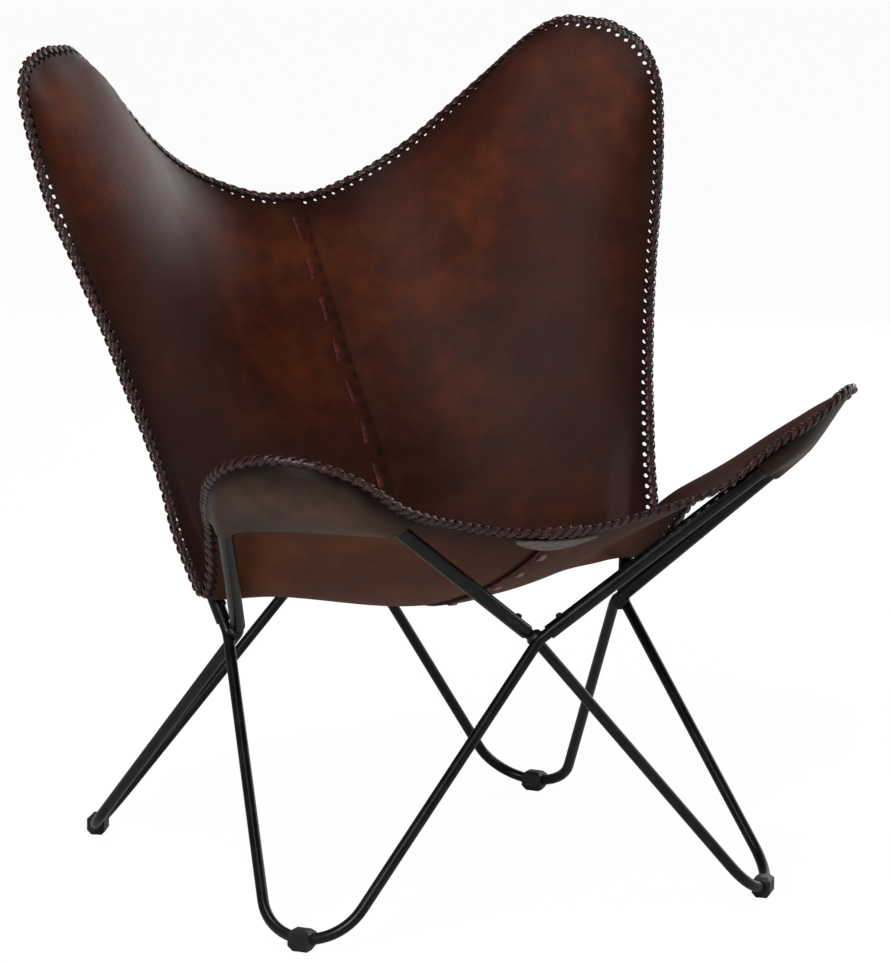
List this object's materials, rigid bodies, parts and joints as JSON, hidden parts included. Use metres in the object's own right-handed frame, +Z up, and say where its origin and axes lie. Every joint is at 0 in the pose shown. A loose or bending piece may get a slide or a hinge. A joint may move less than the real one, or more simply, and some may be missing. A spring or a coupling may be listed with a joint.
{
  "type": "butterfly sling chair",
  "caption": "Low lounge chair of bent steel rods and hairpin tube loops with a laced two-panel leather sling hung on its four tips.",
  "frame": {"origin": "on the floor, under the centre of the bounding box", "axes": "+X to the right of someone facing the chair, +Y from the front to the back, +Z up; the sitter faces -Y"},
  "size_m": [0.7893, 0.729, 0.9146],
  "materials": {
    "frame_steel": "satin black lacquer",
    "weld_steel": "lacquered weld bead",
    "screw_steel": "black oxide",
    "glide_plastic": "matt moulded",
    "panel_leather": "waxed, glossy",
    "pocket_leather": "waxed, smooth",
    "plait_leather": "plaited thong",
    "lace_leather": "flat thong",
    "patch_leather": "raw flesh side"
  },
  "bodies": {
    "root": {"base_rod_front_left": "frame_steel", "base_rod_front_right": "frame_steel", "base_rod_back_left": "frame_steel", "base_rod_back_right": "frame_steel", "weld_front": "weld_steel", "weld_back": "weld_steel", "weld_left": "weld_steel", "weld_right": "weld_steel", "arm_loop_left": "frame_steel", "arm_loop_right": "frame_steel", "back_loop_left": "frame_steel", "back_loop_right": "frame_steel", "screw_arm_left_front": "screw_steel", "screw_arm_left_left": "screw_steel", "screw_back_left_back": "screw_steel", "screw_back_left_left": "screw_steel", "screw_arm_right_front": "screw_steel", "screw_arm_right_right": "screw_steel", "screw_back_right_back": "screw_steel", "screw_back_right_right": "screw_steel", "foot_glide_front_left": "glide_plastic", "foot_glide_front_right": "glide_plastic", "foot_glide_back_left": "glide_plastic", "foot_glide_back_right": "glide_plastic", "sling_panel_left": "panel_leather", "sling_panel_right": "panel_leather", "pocket_arm_left": "pocket_leather", "pocket_arm_right": "pocket_leather", "pocket_back_left": "pocket_leather", "pocket_back_right": "pocket_leather", "edge_lacing": "plait_leather", "seam_lace": "lace_leather", "front_seam_patch": "patch_leather"}
  },
  "joints": []
}
